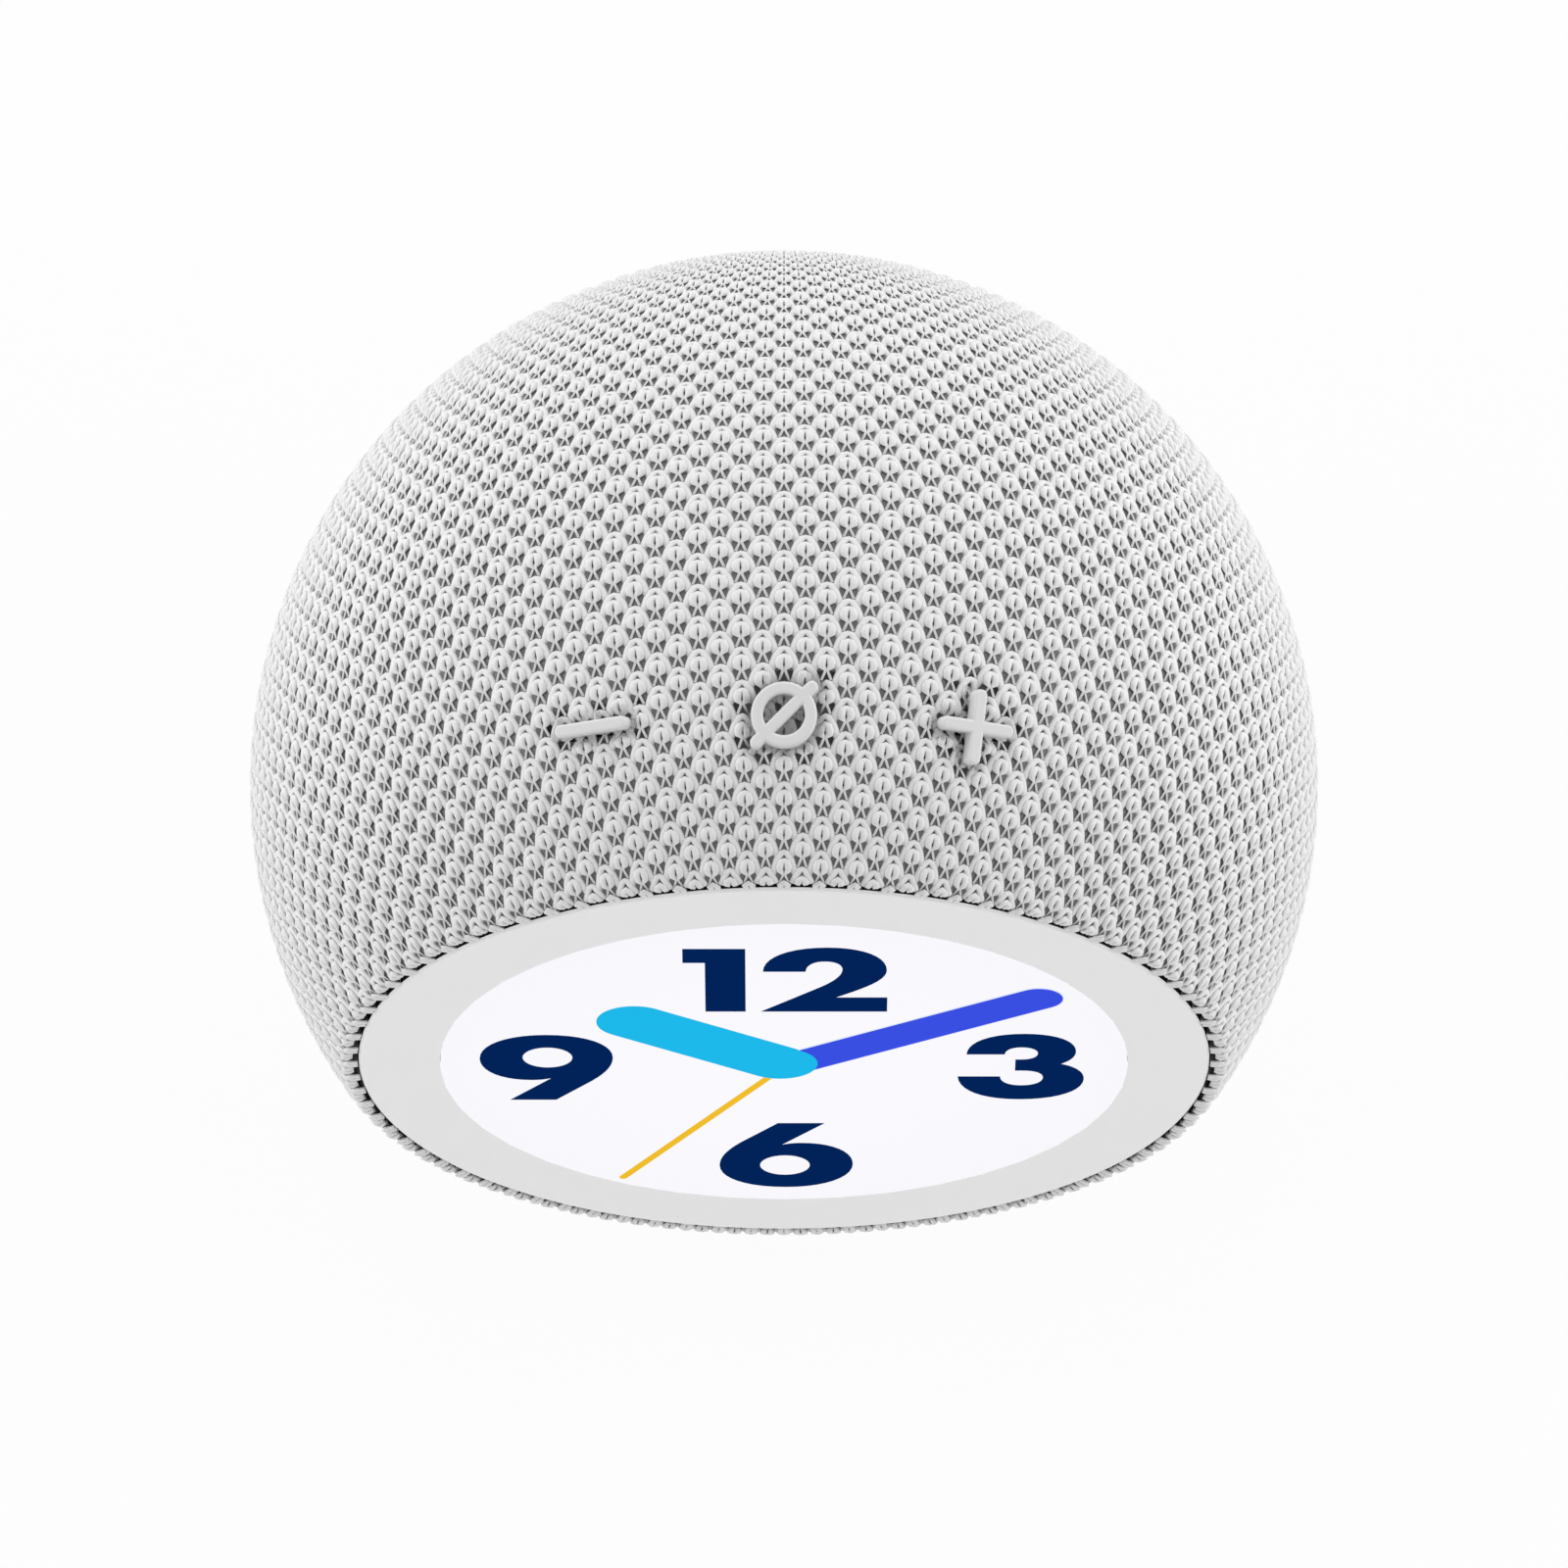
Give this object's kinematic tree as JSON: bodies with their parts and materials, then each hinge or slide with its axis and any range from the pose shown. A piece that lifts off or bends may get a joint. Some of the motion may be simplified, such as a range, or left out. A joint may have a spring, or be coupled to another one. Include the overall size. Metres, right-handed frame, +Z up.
{
  "type": "speaking ball clock",
  "caption": "Knit-covered globe clock with a tilted round screen that shows the time, press keys on its crown, a speaker in its base and a power inlet at the back.",
  "frame": {"origin": "on the table under the ball's centre, in the middle of the foot pad's lower face", "axes": "+Z up, -Y towards the viewer of the face, +X to that viewer's right"},
  "size_m": [0.11, 0.0984, 0.1027],
  "materials": {
    "knit_white": "open white knit",
    "shell_grey": "fine matte",
    "frame_black": "matte",
    "lens_lit": "clear lens bonded to the lit picture",
    "border_grey": "fine matte moulding",
    "tape_black": "matte",
    "display_lit": "lit picture",
    "backlight_white": "matte",
    "bracket_metal": "plain sheet",
    "screw_steel": "plain",
    "standoff_brass": "turned",
    "flex_amber": "satin",
    "board_green": "satin mask",
    "shield_metal": "tinned",
    "connector_black": "moulded",
    "key_grey": "fine matte",
    "plunger_white": "moulded",
    "actuator_black": "moulded",
    "soft_black": "soft",
    "box_black": "moulded",
    "basket_black": "powder coat",
    "magnet_metal": "plated",
    "coil_copper": "varnished winding",
    "cone_black": "pressed paper",
    "spider_cloth": "treated cloth",
    "base_grey": "fine matte",
    "foot_rubber": "matte",
    "inlet_steel": "plated",
    "lead_black": "jacket"
  },
  "bodies": {
    "housing": {"backlight": "backlight_white", "base_plate": "base_grey", "base_screws": "screw_steel", "board_connectors": "connector_black", "board_screws": "screw_steel", "board_standoffs": "standoff_brass", "box_screws": "screw_steel", "bracket_screws": "screw_steel", "cover_lens": "lens_lit", "display_bracket": "bracket_metal", "display_cell": "display_lit", "display_flex": "flex_amber", "display_foam": "tape_black", "driver_basket": "basket_black", "driver_gasket": "soft_black", "foot_pad": "foot_rubber", "frame_screws": "screw_steel", "front_frame": "frame_black", "front_shell": "shell_grey", "inlet_board": "board_green", "inlet_connector": "connector_black", "key_board": "board_green", "key_board_screws": "screw_steel", "key_connector": "connector_black", "key_flex": "flex_amber", "knit_cover": "knit_white", "lens_adhesive": "tape_black", "lens_border": "border_grey", "magnet": "magnet_metal", "magnet_cup": "magnet_metal", "main_board": "board_green", "mic_boots": "soft_black", "microphones": "shield_metal", "pole_plate": "magnet_metal", "power_lead": "lead_black", "processor_shield": "shield_metal", "radio_shield": "shield_metal", "rear_cap": "base_grey", "rear_shell": "shell_grey", "sound_grille": "shell_grey", "speaker_box": "box_black", "speaker_lead": "lead_black", "spider": "spider_cloth", "surround": "soft_black", "switch_bodies": "connector_black", "usb_c_socket": "inlet_steel"},
    "minus_key_set": {"minus_key": "key_grey", "minus_plunger": "plunger_white", "minus_actuator": "actuator_black"},
    "mute_key_set": {"mute_key": "key_grey", "mute_plunger": "plunger_white", "mute_actuator": "actuator_black"},
    "plus_key_set": {"plus_key": "key_grey", "plus_plunger": "plunger_white", "plus_actuator": "actuator_black"},
    "diaphragm": {"driver_cone": "cone_black", "dust_cap": "cone_black", "voice_coil": "coil_copper"}
  },
  "joints": [
    {"name": "minus_press", "type": "slide", "parent": "housing", "child": "minus_key_set", "axis": [0, 0, -1], "range_m": [0, 0.0004], "stiffness_N_per_m": 3000},
    {"name": "mute_press", "type": "slide", "parent": "housing", "child": "mute_key_set", "axis": [0, 0, -1], "range_m": [0, 0.0004], "stiffness_N_per_m": 3000},
    {"name": "plus_press", "type": "slide", "parent": "housing", "child": "plus_key_set", "axis": [0, 0, -1], "range_m": [0, 0.0004], "stiffness_N_per_m": 3000},
    {"name": "cone_stroke", "type": "slide", "parent": "housing", "child": "diaphragm", "axis": [0, 0, 1], "range_m": [-0.0015, 0.0015], "stiffness_N_per_m": 2000, "deforming": ["surround", "spider"]}
  ]
}
